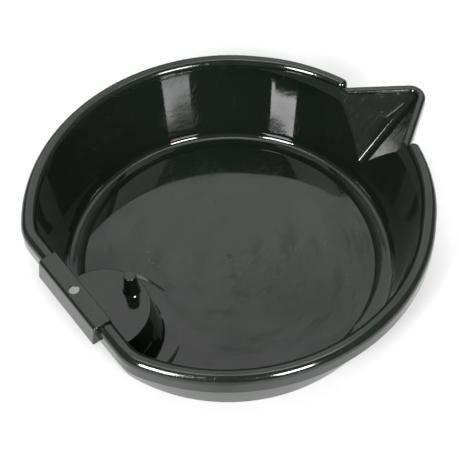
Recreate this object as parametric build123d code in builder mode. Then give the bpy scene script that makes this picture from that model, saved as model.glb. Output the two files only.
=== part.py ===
from build123d import *
import os
from math import atan2, cos, degrees, radians, sin, sqrt, tan

# Oil drain pan, moulded in one plastic.  Millimetres, +Z up.
# Origin: centre of the round bowl, on the plane the foot ring stands on.
# The pan is symmetric about the XZ plane: the pouring spout points along +X and
# the hand grip lies on the flat side of the rim, at -X.
# The nodes are the sections of the moulding.  They meet face to face.

# ---------------------------------------------------------------- driving sizes
WALL = 2.5                  # wall thickness of the moulding
RIM_RADIUS = 200.0          # outer edge of the rim skirt
RIM_WIDTH = 15.4            # width of the rolled rim
SKIRT_FLARE = 0.3           # the skirt's lower edge stands this far outside the roll
SPRING_Z = 90.3             # height where the rim's half-round roll starts
SKIRT_Z = 79.0              # lower edge of the rim skirt
LIMIT_Z = 100.0             # the construction solids of the bowl reach up to here

FOOT_CORNER = 165.5         # radius where floor and inner wall would meet, unrounded
WALL_BOW = 0.8              # the wall is barrelled outwards by this much halfway up
FLOOR_RADIUS = 157.2        # outer edge of the floor plate
CORNER_IN = 6.0             # inner rounding between floor and wall
CORNER_OUT = 7.5            # outer rounding

STEP_HEIGHT = 1.5           # the middle of the floor stands this far above the ledge
STEP_OUTER = 156.4          # foot of the step
STEP_WIDTH = 8.6

CHORD_X = 164.0             # inner face of the flat side, at the rim
CHORD_CORNER = 34.0         # inner rounding where the flat side meets the round wall
CHORD_DRAFT = 4.0           # degrees
CHORD_CLEAR = 0.5           # keeps the flat side's outline outside the round wall

KINK_ANGLE = 44.0           # where the rim leaves the main circle, from +X
END_ANGLE = 16.6            # where the rim stops beside the spout
BULGE_IN_X = 24.85          # centre of the inner edge between kink and spout
BULGE_OUT_X = 13.6          # centre of the outer edge between kink and spout
BULGE_START_Z = 82.0        # the wall flares out to the bulged rim from this height
BULGE_START_CLEAR = 0.4
BULGE_SECTIONS = 5

SPOUT_ANGLE = 34.7          # between each spout edge and the X axis
SPOUT_OFFSET = 140.3        # inner edge line's distance from the origin
SPOUT_SLOPE = 0.82          # rise of the spout's groove per unit of X
SPOUT_SPRING_Z = 88.0
SPOUT_SKIRT_Z = 78.0
SPOUT_WIDTH = 9.0
SPOUT_TIP = 7.0             # inner rounding of the spout's tip
GROOVE_RADIUS = 5.0         # rounding along the bottom of the groove
SPOUT_START_X = 150.0       # the groove's construction solid starts here
SPOUT_EDGE_START = 115.0    # the spout's roll starts this far along its edge line
SPOUT_WALL = 2.2
SPOUT_FILL_CLEAR = 0.2

GRIP_HALF = 47.5            # half the grip's length
GRIP_OUTER_X = 187.0        # lower outer edge
GRIP_TOP_Z = 101.0
GRIP_TOP_IN_X = 165.5
GRIP_TOP_OUT_X = 183.5
GRIP_ROUND_IN = 1.5
GRIP_ROUND_OUT = 4.0
GRIP_CORNER = 1.5           # rounding of the grip's ends
HOLE_X = 174.7
HOLE_RADIUS = 5.0

STAND_X = 150.0             # the filter stand's axis is at -STAND_X
STAND_TOP_RADIUS = 46.0
STAND_TOP_Z = 47.5
STAND_FOOT_RADIUS = 56.0
STAND_RING = 60.0           # outer edge of the stand's foot ring
STAND_STEP = 65.0           # foot of the floor step around the stand
STAND_EDGE = 1.5
STAND_FOOT_ROUND = 3.0

PEG_X = 116.3
PEG_HEIGHT = 25.0
PEG_FOOT_RADIUS = 8.2
PEG_TOP_RADIUS = 6.1
PEG_CORE_RADIUS = 4.6
PEG_FLARE = 0.8
PEG_EDGE = 1.2
PEG_CORE_TIP = 3.4
PEG_CORE_DEPTH = 21.0

GATE_RADIUS = 3.0           # dimple in the middle of the floor
GATE_DEPTH = 0.5
GATE_NUB_RADIUS = 1.0
GATE_NUB_HEIGHT = 0.8

os.makedirs("parts", exist_ok=True)


# ------------------------------------------------------------- worked-out sizes
WALL_SLOPE = (RIM_RADIUS - RIM_WIDTH - SKIRT_FLARE - FOOT_CORNER) / (SPRING_Z - WALL)
WALL_LEAN = sqrt(1 + WALL_SLOPE**2)
INNER_TOP = FOOT_CORNER + WALL_SLOPE * (SPRING_Z - WALL)
KINK_X = cos(radians(KINK_ANGLE))
KINK_Y = sin(radians(KINK_ANGLE))
BULGE_IN_RADIUS = sqrt((INNER_TOP * KINK_X - BULGE_IN_X) ** 2 + (INNER_TOP * KINK_Y) ** 2)
BULGE_OUT_RADIUS = sqrt((RIM_RADIUS * KINK_X - BULGE_OUT_X) ** 2 + (RIM_RADIUS * KINK_Y) ** 2)
STAND_SLOPE = (STAND_FOOT_RADIUS - STAND_TOP_RADIUS) / (STAND_TOP_Z - WALL)
STAND_LEAN = sqrt(1 + STAND_SLOPE**2)
STAND_IN_SHIFT = STAND_SLOPE * WALL - WALL * STAND_LEAN
STAND_AXIS = Axis((-STAND_X, 0, 0), (0, 0, 1))
STAND_PLANE = Plane.XZ.shift_origin((-STAND_X, 0, 0))
PEG_AXIS = Axis((-PEG_X, 0, 0), (0, 0, 1))
PEG_PLANE = Plane.XZ.shift_origin((-PEG_X, 0, STAND_TOP_Z))
BORE_LENGTH = 4 * WALL      # long enough to cut right through one wall
BOTTOM_MIDDLE = (Align.CENTER, Align.CENTER, Align.MIN)
TOP_MIDDLE = (Align.CENTER, Align.CENTER, Align.MAX)
SPOUT_SIN = sin(radians(SPOUT_ANGLE))
SPOUT_COS = cos(radians(SPOUT_ANGLE))
SPOUT_APEX_X = SPOUT_OFFSET / SPOUT_SIN
DOWN_FROM_LIMIT = Plane(origin=(0, 0, LIMIT_Z), x_dir=(1, 0, 0), z_dir=(0, 0, -1))


def wall_radius(z, skin):
    """Radius of the round wall at height z, skin millimetres outside the inner face."""
    share = (z - WALL) / (SPRING_Z - WALL)
    bow = 4 * WALL_BOW * share * (1 - share)
    return FOOT_CORNER + WALL_SLOPE * (z - WALL) + bow + skin * WALL_LEAN


def radial_plane(angle, distance):
    """Upright plane at an angle about Z: local X points outwards, local Y up."""
    outward = (cos(radians(angle)), sin(radians(angle)), 0)
    return Plane(
        origin=(distance * outward[0], distance * outward[1], 0),
        x_dir=outward,
        z_dir=(outward[1], -outward[0], 0),
    )


def circle_reach(angle, centre_x, radius):
    """Distance from the origin, at an angle, to a circle centred on the X axis."""
    return centre_x * cos(radians(angle)) + sqrt(radius**2 - (centre_x * sin(radians(angle))) ** 2)


# -------------------------------------------------- construction solids: the bowl
def bowl_solid(skin, foot_z, corner, chord_draft=CHORD_DRAFT):
    """The bowl filled up, its face lying skin millimetres outside the inner face."""
    flat_reach = (LIMIT_Z - SPRING_Z) * tan(radians(chord_draft)) + skin
    foot = (wall_radius(foot_z, skin), foot_z)
    halfway_z = (foot_z + SPRING_Z) / 2
    halfway = (wall_radius(halfway_z, skin), halfway_z)
    top = (wall_radius(SPRING_Z, skin), SPRING_Z)
    with BuildPart() as solid:
        with BuildSketch(Plane.XZ):
            with BuildLine():
                Line((0, foot_z), foot)
                ThreePointArc(foot, halfway, top)
                Polyline(top, (top[0], LIMIT_Z), (0, LIMIT_Z), (0, foot_z))
            make_face()
        revolve(axis=Axis.Z)
        with BuildSketch(DOWN_FROM_LIMIT) as outline:
            Circle(wall_radius(SPRING_Z, skin) + CHORD_CLEAR + flat_reach - skin)
            with Locations((-CHORD_X - flat_reach - RIM_RADIUS, 0)):
                Rectangle(2 * RIM_RADIUS, 3 * RIM_RADIUS, mode=Mode.SUBTRACT)
            fillet(outline.vertices(), CHORD_CORNER + flat_reach)
        extrude(amount=LIMIT_Z - foot_z, taper=chord_draft, mode=Mode.INTERSECT)
        fillet(solid.edges().group_by(Axis.Z)[0], corner)
        with BuildSketch(Plane.XY.offset(BULGE_START_Z)):
            with Locations((BULGE_IN_X, 0)):
                Circle(wall_radius(BULGE_START_Z, skin) - BULGE_IN_X - BULGE_START_CLEAR)
        with BuildSketch(Plane.XY.offset(SPRING_Z)):
            with Locations((BULGE_IN_X, 0)):
                Circle(BULGE_IN_RADIUS + skin * WALL_LEAN)
        loft()
        with BuildSketch(Plane.XY.offset(SPRING_Z)):
            with Locations((BULGE_IN_X, 0)):
                Circle(BULGE_IN_RADIUS + skin * WALL_LEAN)
        extrude(amount=LIMIT_Z - SPRING_Z)
    return solid.part


def below(height):
    """A slab that holds everything of the pan under a height."""
    side = 4 * RIM_RADIUS
    with BuildPart() as slab:
        with Locations((0, 0, height)):
            Box(side, side, side, align=TOP_MIDDLE)
    return slab.part


with BuildPart() as floor_disc:
    Cylinder(FLOOR_RADIUS, WALL, align=BOTTOM_MIDDLE)

bowl_inside = bowl_solid(0, WALL, CORNER_IN)
bowl_outside = bowl_solid(WALL, 0, CORNER_OUT)
bowl_shell = bowl_outside - bowl_inside
bowl_to_rim = bowl_outside & below(SPRING_Z)
bowl_space = bowl_inside + floor_disc.part


# ------------------------------------------------- construction solids: the spout
def groove_solid(skin, bottom_radius):
    """The V-shaped groove filled up, from inside the bowl to beyond its tip."""
    spread = SPOUT_COS / SPOUT_SIN
    half_per_height = (SPOUT_SIN / SPOUT_COS) / SPOUT_SLOPE
    face_tilt = sqrt(1 + half_per_height**2 + (SPOUT_SIN / SPOUT_COS) ** 2)
    drop = skin * face_tilt / half_per_height
    apex_z = SPOUT_SPRING_Z - SPOUT_SLOPE * (SPOUT_APEX_X - SPOUT_START_X) - drop
    height = 1.5 * SPOUT_SPRING_Z
    length = spread * SPOUT_SPRING_Z * 2
    with BuildPart() as solid:
        with BuildSketch(Plane.YZ.offset(SPOUT_START_X)) as profile:
            with BuildLine():
                Polyline(
                    (0, apex_z),
                    (height * half_per_height, apex_z + height),
                    (-height * half_per_height, apex_z + height),
                    close=True,
                )
            make_face()
            apex = profile.vertices().sort_by_distance((0, apex_z))[0]
            fillet(apex, bottom_radius)
        extrude(amount=length, dir=(1, 0, SPOUT_SLOPE))
    return solid.part


groove_inside = groove_solid(0, GROOVE_RADIUS)
groove_outside = groove_solid(WALL, GROOVE_RADIUS + WALL)


# --------------------------------------------------------- the rolled rim section
def roll_section(plane, width, spring_z, skirt_z, wall=WALL):
    """Inverted U: half-round roll, inner leg on the wall, skirt on the outside."""
    half = width / 2
    skirt = width + SKIRT_FLARE
    with BuildSketch(plane) as section:
        with BuildLine():
            ThreePointArc((0, spring_z), (half, spring_z + half), (width, spring_z))
            Line((width, spring_z), (skirt, skirt_z))
            Line((skirt, skirt_z), (skirt - wall, skirt_z))
            Line((skirt - wall, skirt_z), (width - wall, spring_z))
            ThreePointArc((width - wall, spring_z), (half, spring_z + half - wall), (wall, spring_z))
            Line((wall, spring_z), (0, spring_z))
        make_face()
    return section.sketch


def roll_end_section(plane, width, spring_z, skirt_z):
    """Outer half of the roll's section, turned about its middle to close an end."""
    half = width / 2
    skirt = width + SKIRT_FLARE
    with BuildSketch(plane) as section:
        with BuildLine():
            RadiusArc((half, spring_z + half), (width, spring_z), half)
            Line((width, spring_z), (skirt, skirt_z))
            Line((skirt, skirt_z), (skirt - WALL, skirt_z))
            Line((skirt - WALL, skirt_z), (width - WALL, spring_z))
            RadiusArc((width - WALL, spring_z), (half, spring_z + half - WALL), -(half - WALL))
            Line((half, spring_z + half - WALL), (half, spring_z + half))
        make_face()
    return section.sketch


def bulge_width(angle):
    """Width of the roll between kink and spout."""
    outer = circle_reach(angle, BULGE_OUT_X, BULGE_OUT_RADIUS)
    return outer - circle_reach(angle, BULGE_IN_X, BULGE_IN_RADIUS) - SKIRT_FLARE


def bulge_plane(side, angle):
    """Plane of the roll's section between kink and spout."""
    return radial_plane(side * angle, circle_reach(angle, BULGE_IN_X, BULGE_IN_RADIUS))


# ------------------------------------------------------------------------- rim
# Two runs of rolled rim, from the grip's ends round to the spout's shoulders,
# each closed by a rounded end.
corner_x = -CHORD_X + CHORD_CORNER
corner_y = sqrt((INNER_TOP - CHORD_CORNER) ** 2 - corner_x**2)
corner_angle = degrees(atan2(corner_y, corner_x))
end_width = bulge_width(END_ANGLE)

for rim_name, side in (("rim_left", 1), ("rim_right", -1)):
    with BuildPart() as rim:
        with BuildLine() as path:
            CenterArc((0, 0), INNER_TOP, side * KINK_ANGLE, side * (corner_angle - KINK_ANGLE))
            CenterArc(
                (corner_x, side * corner_y), CHORD_CORNER, side * corner_angle, side * (180 - corner_angle)
            )
            Line((-CHORD_X, side * corner_y), (-CHORD_X, side * GRIP_HALF))
        start = radial_plane(side * KINK_ANGLE, INNER_TOP)
        sweep(roll_section(start, RIM_WIDTH, SPRING_Z, SKIRT_Z), path=path.wires()[0])
        sections = []
        for step in range(BULGE_SECTIONS):
            angle = KINK_ANGLE + (END_ANGLE - KINK_ANGLE) * step / (BULGE_SECTIONS - 1)
            plane = bulge_plane(side, angle)
            sections.append(roll_section(plane, bulge_width(angle), SPRING_Z, SKIRT_Z))
        loft(sections)
        middle = plane.from_local_coords((end_width / 2, 0, 0))
        end = roll_end_section(plane, end_width, SPRING_Z, SKIRT_Z)
        revolve(end, axis=Axis(middle, (0, 0, -side)), revolution_arc=180)
        add(bowl_to_rim, mode=Mode.SUBTRACT)
    rim.part.label = rim_name
    export_step(rim.part, f"parts/{rim_name}.step")


def shoulder_dome(side):
    """The rim's rounded end as a filled solid."""
    half = end_width / 2
    middle = bulge_plane(side, END_ANGLE).from_local_coords((half, 0, 0))
    with BuildPart() as dome:
        with BuildSketch(Plane(origin=middle, x_dir=(1, 0, 0), z_dir=(0, -1, 0))):
            with BuildLine():
                Line((0, SPRING_Z + half), (0, SKIRT_Z))
                Line((0, SKIRT_Z), (half + SKIRT_FLARE, SKIRT_Z))
                Line((half + SKIRT_FLARE, SKIRT_Z), (half, SPRING_Z))
                RadiusArc((half, SPRING_Z), (0, SPRING_Z + half), -half)
            make_face()
        revolve(axis=Axis(middle, (0, 0, 1)))
    return dome.part


# ------------------------------------------------------------------- spout rim
# A narrower roll along both edges of the spout and round its tip.  It starts in
# the wall of the bowl, beside the rounded ends of the main rim.
tip_x = SPOUT_APEX_X - SPOUT_TIP / SPOUT_SIN
tip_arc_x = tip_x + SPOUT_TIP * SPOUT_SIN
tip_arc_y = SPOUT_TIP * SPOUT_COS
edge_x = SPOUT_OFFSET * SPOUT_SIN + SPOUT_EDGE_START * SPOUT_COS
edge_y = SPOUT_OFFSET * SPOUT_COS - SPOUT_EDGE_START * SPOUT_SIN


def spout_roll(wall):
    """The roll swept along the spout's inner edge, from the bowl round the tip and back."""
    start = Plane(
        origin=(edge_x, edge_y, 0), x_dir=(SPOUT_SIN, SPOUT_COS, 0), z_dir=(SPOUT_COS, -SPOUT_SIN, 0)
    )
    with BuildPart() as roll:
        with BuildLine() as path:
            Line((edge_x, edge_y), (tip_arc_x, tip_arc_y))
            RadiusArc((tip_arc_x, tip_arc_y), (tip_arc_x, -tip_arc_y), SPOUT_TIP)
            Line((tip_arc_x, -tip_arc_y), (edge_x, -edge_y))
        sweep(roll_section(start, SPOUT_WIDTH, SPOUT_SPRING_Z, SPOUT_SKIRT_Z, wall), path=path.wires()[0])
    return roll.part


hollow_roll = spout_roll(SPOUT_WALL)
filled_roll = spout_roll(SPOUT_WIDTH / 2 - SPOUT_FILL_CLEAR)
roll_in_wall = (filled_roll & bowl_shell) - below(SPOUT_SPRING_Z)
domes = shoulder_dome(1) + shoulder_dome(-1)

with BuildPart() as spout_rim:
    add(hollow_roll)
    add(bowl_outside, mode=Mode.SUBTRACT)
    add(roll_in_wall)
    add(domes, mode=Mode.SUBTRACT)
spout_rim.part.label = "spout_rim"
export_step(spout_rim.part, "parts/spout_rim.step")

# --------------------------------------------------------------- spout channel
# Two flat walls that meet in a rounded groove, rising from the bowl to the tip.
under_spout_roll = below(SPOUT_SPRING_Z)

with BuildPart() as spout_channel:
    add(groove_outside)
    add(groove_inside, mode=Mode.SUBTRACT)
    add(under_spout_roll, mode=Mode.INTERSECT)
    add(bowl_outside, mode=Mode.SUBTRACT)
    add(spout_rim.part, mode=Mode.SUBTRACT)
spout_channel.part.label = "spout_channel"
export_step(spout_channel.part, "parts/spout_channel.step")

# ------------------------------------------------------------------- bowl wall
# The round wall with its rounded foot, its flat side at the grip, its slight
# bulge towards the spout, and the notch where the spout's groove starts.
with BuildPart() as bowl_wall:
    add(bowl_to_rim)
    add(bowl_inside, mode=Mode.SUBTRACT)
    add(floor_disc.part, mode=Mode.SUBTRACT)
    add(groove_inside, mode=Mode.SUBTRACT)
    add(spout_rim.part, mode=Mode.SUBTRACT)
bowl_wall.part.label = "bowl_wall"
export_step(bowl_wall.part, "parts/bowl_wall.step")

# ------------------------------------------------------------------- pan floor
# A plate with a narrow ledge all round, which is the foot ring underneath, and a
# middle that stands a little higher.  The filter stand takes a bite out of it.
with BuildPart() as raised_middle:
    with BuildSketch(Plane.XZ):
        with BuildLine():
            Line((0, WALL), (STEP_OUTER, WALL))
            TangentArc((STEP_OUTER, WALL), (STEP_OUTER - STEP_WIDTH, WALL + STEP_HEIGHT), tangent=(-1, 0))
            Line((STEP_OUTER - STEP_WIDTH, WALL + STEP_HEIGHT), (0, WALL + STEP_HEIGHT))
            Line((0, WALL + STEP_HEIGHT), (0, WALL))
        make_face()
    revolve(axis=Axis.Z)
    with BuildSketch(STAND_PLANE):
        with BuildLine():
            Line((0, WALL), (STAND_STEP, WALL))
            TangentArc((STAND_STEP, WALL), (STAND_STEP + STEP_WIDTH, WALL + STEP_HEIGHT), tangent=(1, 0))
            Line((STAND_STEP + STEP_WIDTH, WALL + STEP_HEIGHT), (0, WALL + STEP_HEIGHT))
            Line((0, WALL + STEP_HEIGHT), (0, WALL))
        make_face()
    revolve(axis=STAND_AXIS, mode=Mode.SUBTRACT)
hollow_under_middle = Pos(0, 0, -WALL) * raised_middle.part

with BuildPart() as pan_floor:
    add(floor_disc.part)
    add(raised_middle.part)
    add(hollow_under_middle, mode=Mode.SUBTRACT)
    with Locations((-STAND_X, 0, 0)):
        Cylinder(STAND_RING, BORE_LENGTH, mode=Mode.SUBTRACT)
    with Locations((0, 0, WALL + STEP_HEIGHT)):
        Cylinder(GATE_RADIUS, 2 * GATE_DEPTH, mode=Mode.SUBTRACT)
    with Locations((0, 0, WALL + STEP_HEIGHT - GATE_DEPTH)):
        Cylinder(GATE_NUB_RADIUS, GATE_NUB_HEIGHT, align=BOTTOM_MIDDLE)
pan_floor.part.label = "pan_floor"
export_step(pan_floor.part, "parts/pan_floor.step")

# ---------------------------------------------------------------- filter stand
# A hollow round pillar with a flat top, built against the flat side of the bowl.
# An oil filter stands on it and drains into the pan.
with BuildPart() as filter_stand:
    with BuildSketch(STAND_PLANE) as outer_profile:
        with BuildLine():
            Polyline(
                (0, 0),
                (STAND_RING, 0),
                (STAND_RING, WALL),
                (STAND_FOOT_RADIUS, WALL),
                (STAND_TOP_RADIUS, STAND_TOP_Z),
                (0, STAND_TOP_Z),
                close=True,
            )
        make_face()
        fillet(outer_profile.vertices().sort_by_distance((STAND_TOP_RADIUS, STAND_TOP_Z))[0], STAND_EDGE)
        fillet(outer_profile.vertices().sort_by_distance((STAND_FOOT_RADIUS, WALL))[0], STAND_FOOT_ROUND)
    revolve(axis=STAND_AXIS)
    with BuildSketch(STAND_PLANE):
        with BuildLine():
            Polyline(
                (0, 0),
                (STAND_FOOT_RADIUS + STAND_IN_SHIFT, 0),
                (STAND_TOP_RADIUS + STAND_IN_SHIFT, STAND_TOP_Z - WALL),
                (0, STAND_TOP_Z - WALL),
                close=True,
            )
        make_face()
    revolve(axis=STAND_AXIS, mode=Mode.SUBTRACT)
    add(bowl_space, mode=Mode.INTERSECT)
    with Locations((-PEG_X, 0, STAND_TOP_Z)):
        Cylinder(PEG_CORE_RADIUS, BORE_LENGTH, mode=Mode.SUBTRACT)
filter_stand.part.label = "filter_stand"
export_step(filter_stand.part, "parts/filter_stand.step")

# ------------------------------------------------------------------ filter peg
# A tapered peg that goes up the filter's threaded hole.  It is cored from below.
with BuildPart() as filter_peg:
    with BuildSketch(PEG_PLANE) as peg_profile:
        with BuildLine():
            Polyline(
                (0, 0),
                (PEG_FOOT_RADIUS + PEG_FLARE, 0),
                (PEG_FOOT_RADIUS, PEG_FLARE),
                (PEG_TOP_RADIUS, PEG_HEIGHT),
                (0, PEG_HEIGHT),
                close=True,
            )
        make_face()
        fillet(peg_profile.vertices().sort_by_distance((PEG_TOP_RADIUS, PEG_HEIGHT))[0], PEG_EDGE)
    revolve(axis=PEG_AXIS)
    with Locations((-PEG_X, 0, STAND_TOP_Z)):
        Cone(PEG_CORE_RADIUS, PEG_CORE_TIP, PEG_CORE_DEPTH, align=BOTTOM_MIDDLE, mode=Mode.SUBTRACT)
filter_peg.part.label = "filter_peg"
export_step(filter_peg.part, "parts/filter_peg.step")

# ----------------------------------------------------------------- handle grip
# A boxy, thicker stretch of rim in the middle of the flat side, open below, with
# a hole to hang the pan up by.
with BuildPart() as handle_grip:
    with BuildSketch(Plane.XZ.offset(-GRIP_HALF)) as grip_profile:
        with BuildLine():
            Polyline(
                (-CHORD_X, SKIRT_Z),
                (-CHORD_X, SPRING_Z),
                (-GRIP_TOP_IN_X, GRIP_TOP_Z),
                (-GRIP_TOP_OUT_X, GRIP_TOP_Z),
                (-GRIP_OUTER_X, SKIRT_Z),
                close=True,
            )
        make_face()
        fillet(grip_profile.vertices().sort_by_distance((-GRIP_TOP_IN_X, GRIP_TOP_Z))[0], GRIP_ROUND_IN)
        fillet(grip_profile.vertices().sort_by_distance((-GRIP_TOP_OUT_X, GRIP_TOP_Z))[0], GRIP_ROUND_OUT)
    extrude(amount=2 * GRIP_HALF)
    end_edges = handle_grip.faces().filter_by(Axis.Y).edges()
    outer_edges = end_edges.filter_by(lambda edge: edge.center().X < -CHORD_X - WALL / 2)
    fillet(outer_edges.filter_by(lambda edge: edge.center().Z > SKIRT_Z), GRIP_CORNER)
    with BuildSketch(Plane.XZ.offset(-GRIP_HALF + WALL)):
        with BuildLine():
            Polyline(
                (-CHORD_X, SKIRT_Z),
                (-CHORD_X, SPRING_Z),
                (-CHORD_X - WALL, SPRING_Z),
                (-GRIP_TOP_IN_X - WALL, GRIP_TOP_Z - WALL),
                (-GRIP_TOP_OUT_X + WALL, GRIP_TOP_Z - WALL),
                (-GRIP_OUTER_X + WALL, SKIRT_Z),
                close=True,
            )
        make_face()
    extrude(amount=2 * (GRIP_HALF - WALL), mode=Mode.SUBTRACT)
    add(bowl_to_rim, mode=Mode.SUBTRACT)
    with Locations((-HOLE_X, 0, GRIP_TOP_Z)):
        Cylinder(HOLE_RADIUS, BORE_LENGTH, mode=Mode.SUBTRACT)
handle_grip.part.label = "handle_grip"
export_step(handle_grip.part, "parts/handle_grip.step")
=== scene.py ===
import math

import bpy
from mathutils import Matrix, Vector


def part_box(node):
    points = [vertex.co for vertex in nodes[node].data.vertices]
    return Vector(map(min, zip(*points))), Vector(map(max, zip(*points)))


# The looks of the oil drain pan: one gloss black plastic moulding on a pale floor.
# Metres, in the frame of the CAD.  Every CAD node stays as it is and gets a
# material of its own, because the wear differs from place to place.

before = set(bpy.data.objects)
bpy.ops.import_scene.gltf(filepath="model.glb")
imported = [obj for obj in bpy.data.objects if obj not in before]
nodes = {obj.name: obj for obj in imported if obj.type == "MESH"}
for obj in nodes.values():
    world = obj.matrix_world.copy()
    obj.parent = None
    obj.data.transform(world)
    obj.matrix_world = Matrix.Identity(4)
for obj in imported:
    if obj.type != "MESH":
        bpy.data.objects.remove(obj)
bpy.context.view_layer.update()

# ------------------------------------------------------------------ the plastic
BODY_DARK = (0.0020, 0.0031, 0.0021, 1)
BODY_LIGHT = (0.0033, 0.0048, 0.0034, 1)
DUST = (0.115, 0.118, 0.110, 1)
SCUFF = (0.060, 0.063, 0.058, 1)
SHEET_GLOSS = 0.030           # roughness of the polished inside
EDGE_ROUND = 0.0012           # how far from an edge the rubbing reaches
PLASTIC_IOR = 1.49
PLASTIC_SPECULAR = 0.5
FILM_DULLING = 0.20           # how much an oil film takes off the specular level
SCRATCH_DEPTH = 0.000010
PEEL_DEPTH = 0.000012         # orange peel of the moulded skin
SINK_DEPTH = 0.0006           # sink waves of the moulded sheet

# Noise scales, per metre.
CLOUD_SCALE = 6.0
HAZE_SCALE = 11.0
SPECK_SCALE = 900.0
LINT_SCALE = 2300.0
FALL_SCALE = 14.0
RUB_SCALE = 60.0
SINK_SCALE = 13.0
PEEL_SCALE = 150.0

SCRATCHES = (                 # turn in radians, spacing, length, share of the surface
    (0.45, 0.0011, 0.045, 0.50),
    (1.90, 0.0009, 0.030, 0.44),
    (2.80, 0.0014, 0.060, 0.42),
)


class Nodes:
    """Short calls for building one node material."""

    def __init__(self, name):
        self.material = bpy.data.materials.new(name)
        self.material.use_nodes = True
        self.tree = self.material.node_tree
        self.tree.nodes.clear()
        self.position = self.add("ShaderNodeTexCoord").outputs["Object"]

    def add(self, kind, **settings):
        node = self.tree.nodes.new(kind)
        for key, value in settings.items():
            setattr(node, key, value)
        return node

    def put(self, socket, value):
        if isinstance(value, bpy.types.NodeSocket):
            self.tree.links.new(value, socket)
        else:
            socket.default_value = value

    def shader(self):
        """A Principled shader joined to the material's output."""
        shader = self.add("ShaderNodeBsdfPrincipled")
        out = self.add("ShaderNodeOutputMaterial")
        self.tree.links.new(shader.outputs[0], out.inputs[0])
        return shader

    def math(self, operation, a, b=0.0, clamp=False):
        node = self.add("ShaderNodeMath", operation=operation, use_clamp=clamp)
        self.put(node.inputs[0], a)
        self.put(node.inputs[1], b)
        return node.outputs[0]

    def ramp(self, value, low, high, out_low=0.0, out_high=1.0):
        node = self.add("ShaderNodeMapRange", interpolation_type="SMOOTHSTEP")
        for socket, number in zip(node.inputs, (value, low, high, out_low, out_high)):
            self.put(socket, number)
        return node.outputs["Result"]

    def noise(self, scale, detail=2.0, rough=0.5, place=None):
        node = self.add("ShaderNodeTexNoise")
        self.put(node.inputs["Vector"], place or self.position)
        node.inputs["Scale"].default_value = scale
        node.inputs["Detail"].default_value = detail
        node.inputs["Roughness"].default_value = rough
        return node.outputs["Fac"]

    def stretched(self, scale, turn):
        """The place on the surface, turned about Z and scaled along each axis."""
        node = self.add("ShaderNodeMapping")
        self.put(node.inputs["Vector"], self.position)
        node.inputs["Rotation"].default_value = (0, 0, turn)
        node.inputs["Scale"].default_value = scale
        return node.outputs["Vector"]

    def mix(self, share, a, b):
        node = self.add("ShaderNodeMix", data_type="RGBA")
        self.put(node.inputs["Factor"], share)
        self.put(node.inputs["A"], a)
        self.put(node.inputs["B"], b)
        return node.outputs["Result"]

    def bump(self, height, distance, normal=None):
        node = self.add("ShaderNodeBump")
        self.put(node.inputs["Height"], height)
        node.inputs["Distance"].default_value = distance
        node.inputs["Strength"].default_value = 1.0
        if normal is not None:
            self.put(node.inputs["Normal"], normal)
        return node.outputs["Normal"]

    def split(self, vector):
        node = self.add("ShaderNodeSeparateXYZ")
        self.put(node.inputs[0], vector)
        return node.outputs

    def radius(self, x, y):
        squares = self.math("ADD", self.math("MULTIPLY", x, x), self.math("MULTIPLY", y, y))
        return self.math("SQRT", squares)


def scratches(n, turn, spacing, length, keep):
    """Fine straight scratches: long thin cells of noise, seen only in patches."""
    cells = n.noise(1.0, 1.0, 0.5, n.stretched((1 / length, 1 / spacing, 1 / length), turn))
    lines = n.ramp(n.math("ABSOLUTE", n.math("SUBTRACT", cells, 0.5)), 0.0, 0.010, 1.0, 0.0)
    patches = n.ramp(n.noise(9.0 + 3 * turn, 2.0), 1 - keep, 1 - keep + 0.08)
    return n.math("MULTIPLY", lines, patches)


def ring_marks(n, centre, first, gap, depth):
    """Faint circular rubbing marks around an upright axis."""
    x, y, _ = n.split(n.position)
    radius = n.radius(n.math("SUBTRACT", x, centre[0]), n.math("SUBTRACT", y, centre[1]))
    outwards = n.add("ShaderNodeCombineXYZ")
    n.put(outwards.inputs[0], n.math("MULTIPLY", n.math("SUBTRACT", radius, first), 1 / gap))
    lines = n.noise(1.0, 3.0, 0.7, outwards.outputs[0])
    patches = n.ramp(n.noise(7.0, 2.0), 0.45, 0.62)
    return n.math("MULTIPLY", n.math("MULTIPLY", n.ramp(lines, 0.56, 0.66), patches), depth)


def smears(n):
    """Oil film left by a wiping cloth: broad streaks that run round the bowl."""
    x, y, _ = n.split(n.position)
    around = n.add("ShaderNodeCombineXYZ")
    n.put(around.inputs[0], n.math("MULTIPLY", n.radius(x, y), 48.0))
    n.put(around.inputs[1], n.math("MULTIPLY", n.math("ARCTAN2", y, x), 1.3))
    streaks = n.ramp(n.noise(1.0, 4.0, 0.6, around.outputs[0]), 0.44, 0.66)
    patches = n.ramp(n.noise(5.5, 3.0, 0.6), 0.38, 0.62)
    return n.math("MULTIPLY", streaks, patches)


def settled_dust(n, true_normal, amount):
    """Specks and lint, which lie on the faces that look up."""
    up = n.ramp(n.split(true_normal)[2], 0.55, 0.98)
    specks = n.ramp(n.noise(SPECK_SCALE, 1.0), 0.70, 0.76)
    lint = n.ramp(n.noise(LINT_SCALE, 1.0), 0.69, 0.74)
    fall = n.ramp(n.noise(FALL_SCALE, 3.0, 0.65), 0.40, 0.75, 0.15, 1.0)
    powder = n.math("MULTIPLY", n.math("MULTIPLY", n.math("MAXIMUM", specks, lint), fall), up)
    return n.math("MULTIPLY", powder, 0.55 * amount)


def rubbed_edges(n, normal, amount):
    """The edges, found where a rounded normal turns away from the surface's own."""
    rounded = n.add("ShaderNodeBevel", samples=4)
    rounded.inputs["Radius"].default_value = EDGE_ROUND
    turned = n.add("ShaderNodeVectorMath", operation="DOT_PRODUCT")
    n.put(turned.inputs[0], rounded.outputs["Normal"])
    n.put(turned.inputs[1], normal)
    edges = n.ramp(turned.outputs["Value"], 0.90, 0.995, 1.0, 0.0)
    rubbed = n.math("MULTIPLY", edges, n.ramp(n.noise(RUB_SCALE, 3.0, 0.7), 0.46, 0.70))
    return n.math("MULTIPLY", rubbed, 0.30 * amount)


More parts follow.
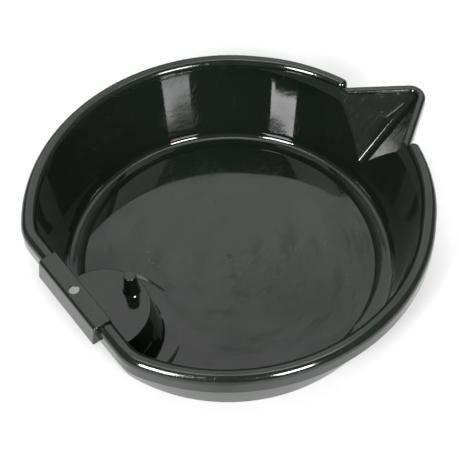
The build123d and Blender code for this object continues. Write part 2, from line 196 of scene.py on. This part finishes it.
def plastic(name, gloss=SHEET_GLOSS, dust=0.5, wear=0.5, wave=0.5, rings=None):
    """Gloss black polypropylene: sink waves, a fine skin, scratches, haze, film, dust and rubbed edges."""
    n = Nodes(name)
    shader = n.shader()
    geometry = n.add("ShaderNodeNewGeometry")

    lines = scratches(n, *SCRATCHES[0])
    for settings in SCRATCHES[1:]:
        lines = n.math("MAXIMUM", lines, scratches(n, *settings))
    if rings is not None:
        lines = n.math("MAXIMUM", lines, ring_marks(n, *rings))
    marks = n.math("MULTIPLY", lines, 0.35 * wear)
    powder = settled_dust(n, geometry.outputs["True Normal"], dust)
    rubbed = rubbed_edges(n, geometry.outputs["Normal"], wear)

    cloud = n.noise(CLOUD_SCALE, 3.0, 0.55)
    colour = n.mix(n.ramp(cloud, 0.3, 0.7), BODY_DARK, BODY_LIGHT)
    colour = n.mix(rubbed, colour, SCUFF)
    colour = n.mix(n.math("MULTIPLY", marks, 0.5), colour, SCUFF)
    colour = n.mix(powder, colour, DUST)
    n.put(shader.inputs["Base Color"], colour)

    haze = n.ramp(n.noise(HAZE_SCALE, 4.0, 0.6), 0.42, 0.72)
    flow = n.ramp(n.noise(1.0, 3.0, 0.6, n.stretched((9, 26, 14), 0.6)), 0.4, 0.7)
    rough = gloss
    for mask, roughening in ((haze, 0.035), (flow, 0.015), (marks, 0.30), (rubbed, 0.35), (powder, 0.5)):
        rough = n.math("ADD", rough, n.math("MULTIPLY", mask, roughening), clamp=True)
    n.put(shader.inputs["Roughness"], rough)

    film = n.math("MAXIMUM", smears(n), n.math("MULTIPLY", n.ramp(cloud, 0.46, 0.68), 0.7))
    dulled = n.math("SUBTRACT", PLASTIC_SPECULAR, n.math("MULTIPLY", film, FILM_DULLING))
    n.put(shader.inputs["Specular IOR Level"], dulled)
    shader.inputs["IOR"].default_value = PLASTIC_IOR

    sink = n.bump(n.noise(SINK_SCALE, 2.0, 0.4), SINK_DEPTH * wave)
    peel = n.bump(n.noise(PEEL_SCALE, 2.0, 0.5), PEEL_DEPTH, sink)
    cut = n.bump(n.math("MULTIPLY", lines, -1.0), SCRATCH_DEPTH * wear, peel)
    n.put(shader.inputs["Normal"], cut)
    return n.material


def dress(node_name, material):
    """The CAD node keeps its shape and shows this material."""
    mesh = nodes[node_name].data
    for index in range(len(mesh.materials)):
        mesh.materials[index] = material


# Filters are turned round the peg, and a cloth is wiped round the bowl.
peg_low, peg_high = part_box("filter_peg")
peg_centre = ((peg_low[0] + peg_high[0]) / 2, (peg_low[1] + peg_high[1]) / 2)
FLOOR_RINGS = ((0, 0), 0.02, 0.0016, 0.7)
STAND_RINGS = (peg_centre, 0.01, 0.0018, 0.5)

dress("pan_floor", plastic("floor_plastic", dust=0.8, wear=0.8, wave=0.10, rings=FLOOR_RINGS))
dress("bowl_wall", plastic("wall_plastic", dust=0.3, wear=0.5, wave=0.05))
for rim_name in ("rim_left", "rim_right"):
    dress(rim_name, plastic(rim_name + "_plastic", gloss=0.09, dust=0.7, wear=1.0, wave=0.25))
dress("spout_rim", plastic("spout_rim_plastic", gloss=0.09, dust=0.6, wear=1.0, wave=0.2))
dress("spout_channel", plastic("channel_plastic", gloss=0.05, dust=0.4, wear=0.6, wave=0.3))
dress("handle_grip", plastic("grip_plastic", gloss=0.13, dust=0.9, wear=1.2, wave=0.3))
dress("filter_stand", plastic("stand_plastic", dust=0.8, wear=0.8, wave=0.10, rings=STAND_RINGS))
dress("filter_peg", plastic("peg_plastic", gloss=0.08, dust=0.6, wear=1.0, wave=0.1))


# -------------------------------------------------------------------- the floor
FLOOR_SIZE = 14
PAPER_DARK = (0.40, 0.40, 0.40, 1)
PAPER_LIGHT = (0.43, 0.43, 0.43, 1)
PAPER_CLOUD_SCALE = 3.0


def stage_floor():
    """A wide paper floor that the lights bring to white."""
    bpy.ops.mesh.primitive_plane_add(size=FLOOR_SIZE)
    floor = bpy.context.object
    floor.name = "studio_floor"
    n = Nodes("studio_white")
    shader = n.shader()
    paper = n.mix(n.noise(PAPER_CLOUD_SCALE, 3.0), PAPER_DARK, PAPER_LIGHT)
    n.put(shader.inputs["Base Color"], paper)
    shader.inputs["Roughness"].default_value = 0.9
    shader.inputs["Specular IOR Level"].default_value = 0.1
    floor.data.materials.append(n.material)


stage_floor()


# ------------------------------------------------------------------- the lights
VIEW_TURN = math.radians(-35.3)       # azimuth of the camera about the bowl
WORLD_COLOUR = (0.96, 0.98, 0.96, 1)
WORLD_STRENGTH = 0.30


def towards(turn, rise):
    """Unit vector at an angle round the bowl, counted from the -Y side, and above the horizon."""
    flat = math.cos(rise)
    return Vector((math.sin(turn) * flat, -math.cos(turn) * flat, math.sin(rise)))


def softbox(name, turn, rise, distance, width, height, radiance):
    """A rectangular soft light that faces the bowl; all its angles are degrees seen from there."""
    light = bpy.data.lights.new(name, "AREA")
    light.shape = "RECTANGLE"
    light.size = 2 * distance * math.tan(math.radians(width) / 2)
    light.size_y = 2 * distance * math.tan(math.radians(height) / 2)
    light.energy = radiance * math.pi * light.size * light.size_y
    holder = bpy.data.objects.new(name, light)
    direction = towards(VIEW_TURN + math.radians(turn), math.radians(rise))
    holder.location = direction * distance
    holder.rotation_euler = direction.to_track_quat("Z", "Y").to_euler()
    bpy.context.scene.collection.objects.link(holder)
    return holder


softbox("softbox_left", turn=-34, rise=35, distance=2.4, width=13.5, height=22, radiance=62)
softbox("softbox_right", turn=27.5, rise=33.5, distance=2.4, width=14, height=18, radiance=62)
softbox("back_panel", turn=180, rise=50, distance=2.6, width=80, height=52, radiance=1.35)
softbox("top_panel", turn=180, rise=87, distance=2.6, width=44, height=16, radiance=4.0)
ceiling = softbox("ceiling", turn=180, rise=75, distance=3.0, width=62, height=62, radiance=3.2)
ceiling.visible_glossy = False      # it only evens out the light on the pale floor

world = bpy.data.worlds.new("studio_surround")
bpy.context.scene.world = world
world.use_nodes = True
background = world.node_tree.nodes["Background"]
background.inputs["Color"].default_value = WORLD_COLOUR
background.inputs["Strength"].default_value = WORLD_STRENGTH
bpy.context.scene.view_settings.view_transform = "Standard"

# ------------------------------------------------------------------- the camera
VIEW_RISE = math.radians(54.4)        # its height above the horizon
VIEW_RANGE = 1.248                    # its distance from the middle of the floor
VIEW_TARGET = Vector((0, 0, 0.0025))
VIEW_ROLL = math.radians(-1.69)
VIEW_AIM_ACROSS = math.radians(0.05)
VIEW_AIM_UP = math.radians(1.3)
LENS = 95.42
SENSOR = 36.0
CLIP_END = 50


def camera():
    """The camera looks down into the bowl from beside the grip, with a long lens."""
    back = towards(VIEW_TURN, VIEW_RISE)
    right = Vector((math.cos(VIEW_TURN), math.sin(VIEW_TURN), 0))
    upward = back.cross(right)
    level = right * math.sin(VIEW_AIM_ACROSS) - back * math.cos(VIEW_AIM_ACROSS)
    forward = (level * math.cos(VIEW_AIM_UP) + upward * math.sin(VIEW_AIM_UP)).normalized()
    right = forward.cross(upward).normalized()
    upward = right.cross(forward)
    turned_right = right * math.cos(VIEW_ROLL) + upward * math.sin(VIEW_ROLL)
    turned_up = upward * math.cos(VIEW_ROLL) - right * math.sin(VIEW_ROLL)
    rotation = Matrix((turned_right, turned_up, -forward)).transposed()

    data = bpy.data.cameras.new("camera")
    data.lens = LENS
    data.sensor_width = SENSOR
    data.clip_end = CLIP_END
    holder = bpy.data.objects.new("camera", data)
    place = Matrix.Translation(VIEW_TARGET + back * VIEW_RANGE)
    holder.matrix_world = place @ rotation.to_4x4()
    bpy.context.scene.collection.objects.link(holder)
    bpy.context.scene.camera = holder


camera()
